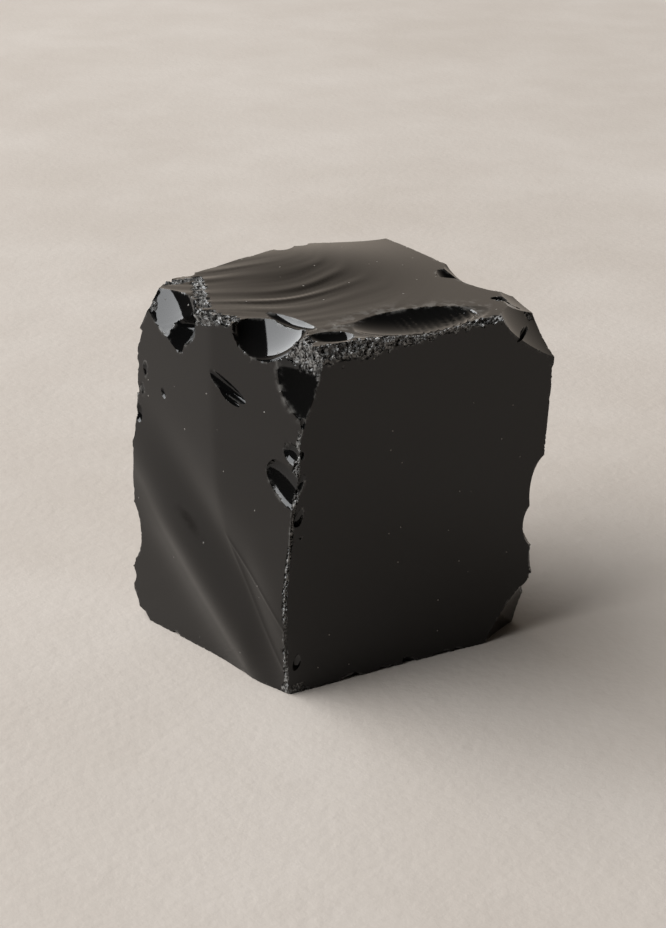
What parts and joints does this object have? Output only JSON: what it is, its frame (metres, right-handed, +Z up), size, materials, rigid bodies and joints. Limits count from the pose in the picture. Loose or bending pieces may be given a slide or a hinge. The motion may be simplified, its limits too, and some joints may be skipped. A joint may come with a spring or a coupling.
{
  "type": "obsidian chunk",
  "caption": "Rough block of black volcanic glass with broad flat breaks, small shell-shaped scoops on its corners and edges, and a flat base to stand on.",
  "frame": {"origin": "on the surface that the stone stands on, under the middle of its bounding box", "axes": "+Z up, -Y out of the broad dark front break, the left break faces -X"},
  "size_m": [0.0504, 0.0412, 0.0517],
  "materials": {
    "obsidian": "natural break, glossy in the scoops and satin on the broad faces"
  },
  "bodies": {
    "root": {"obsidian_chunk": "obsidian"}
  },
  "joints": []
}
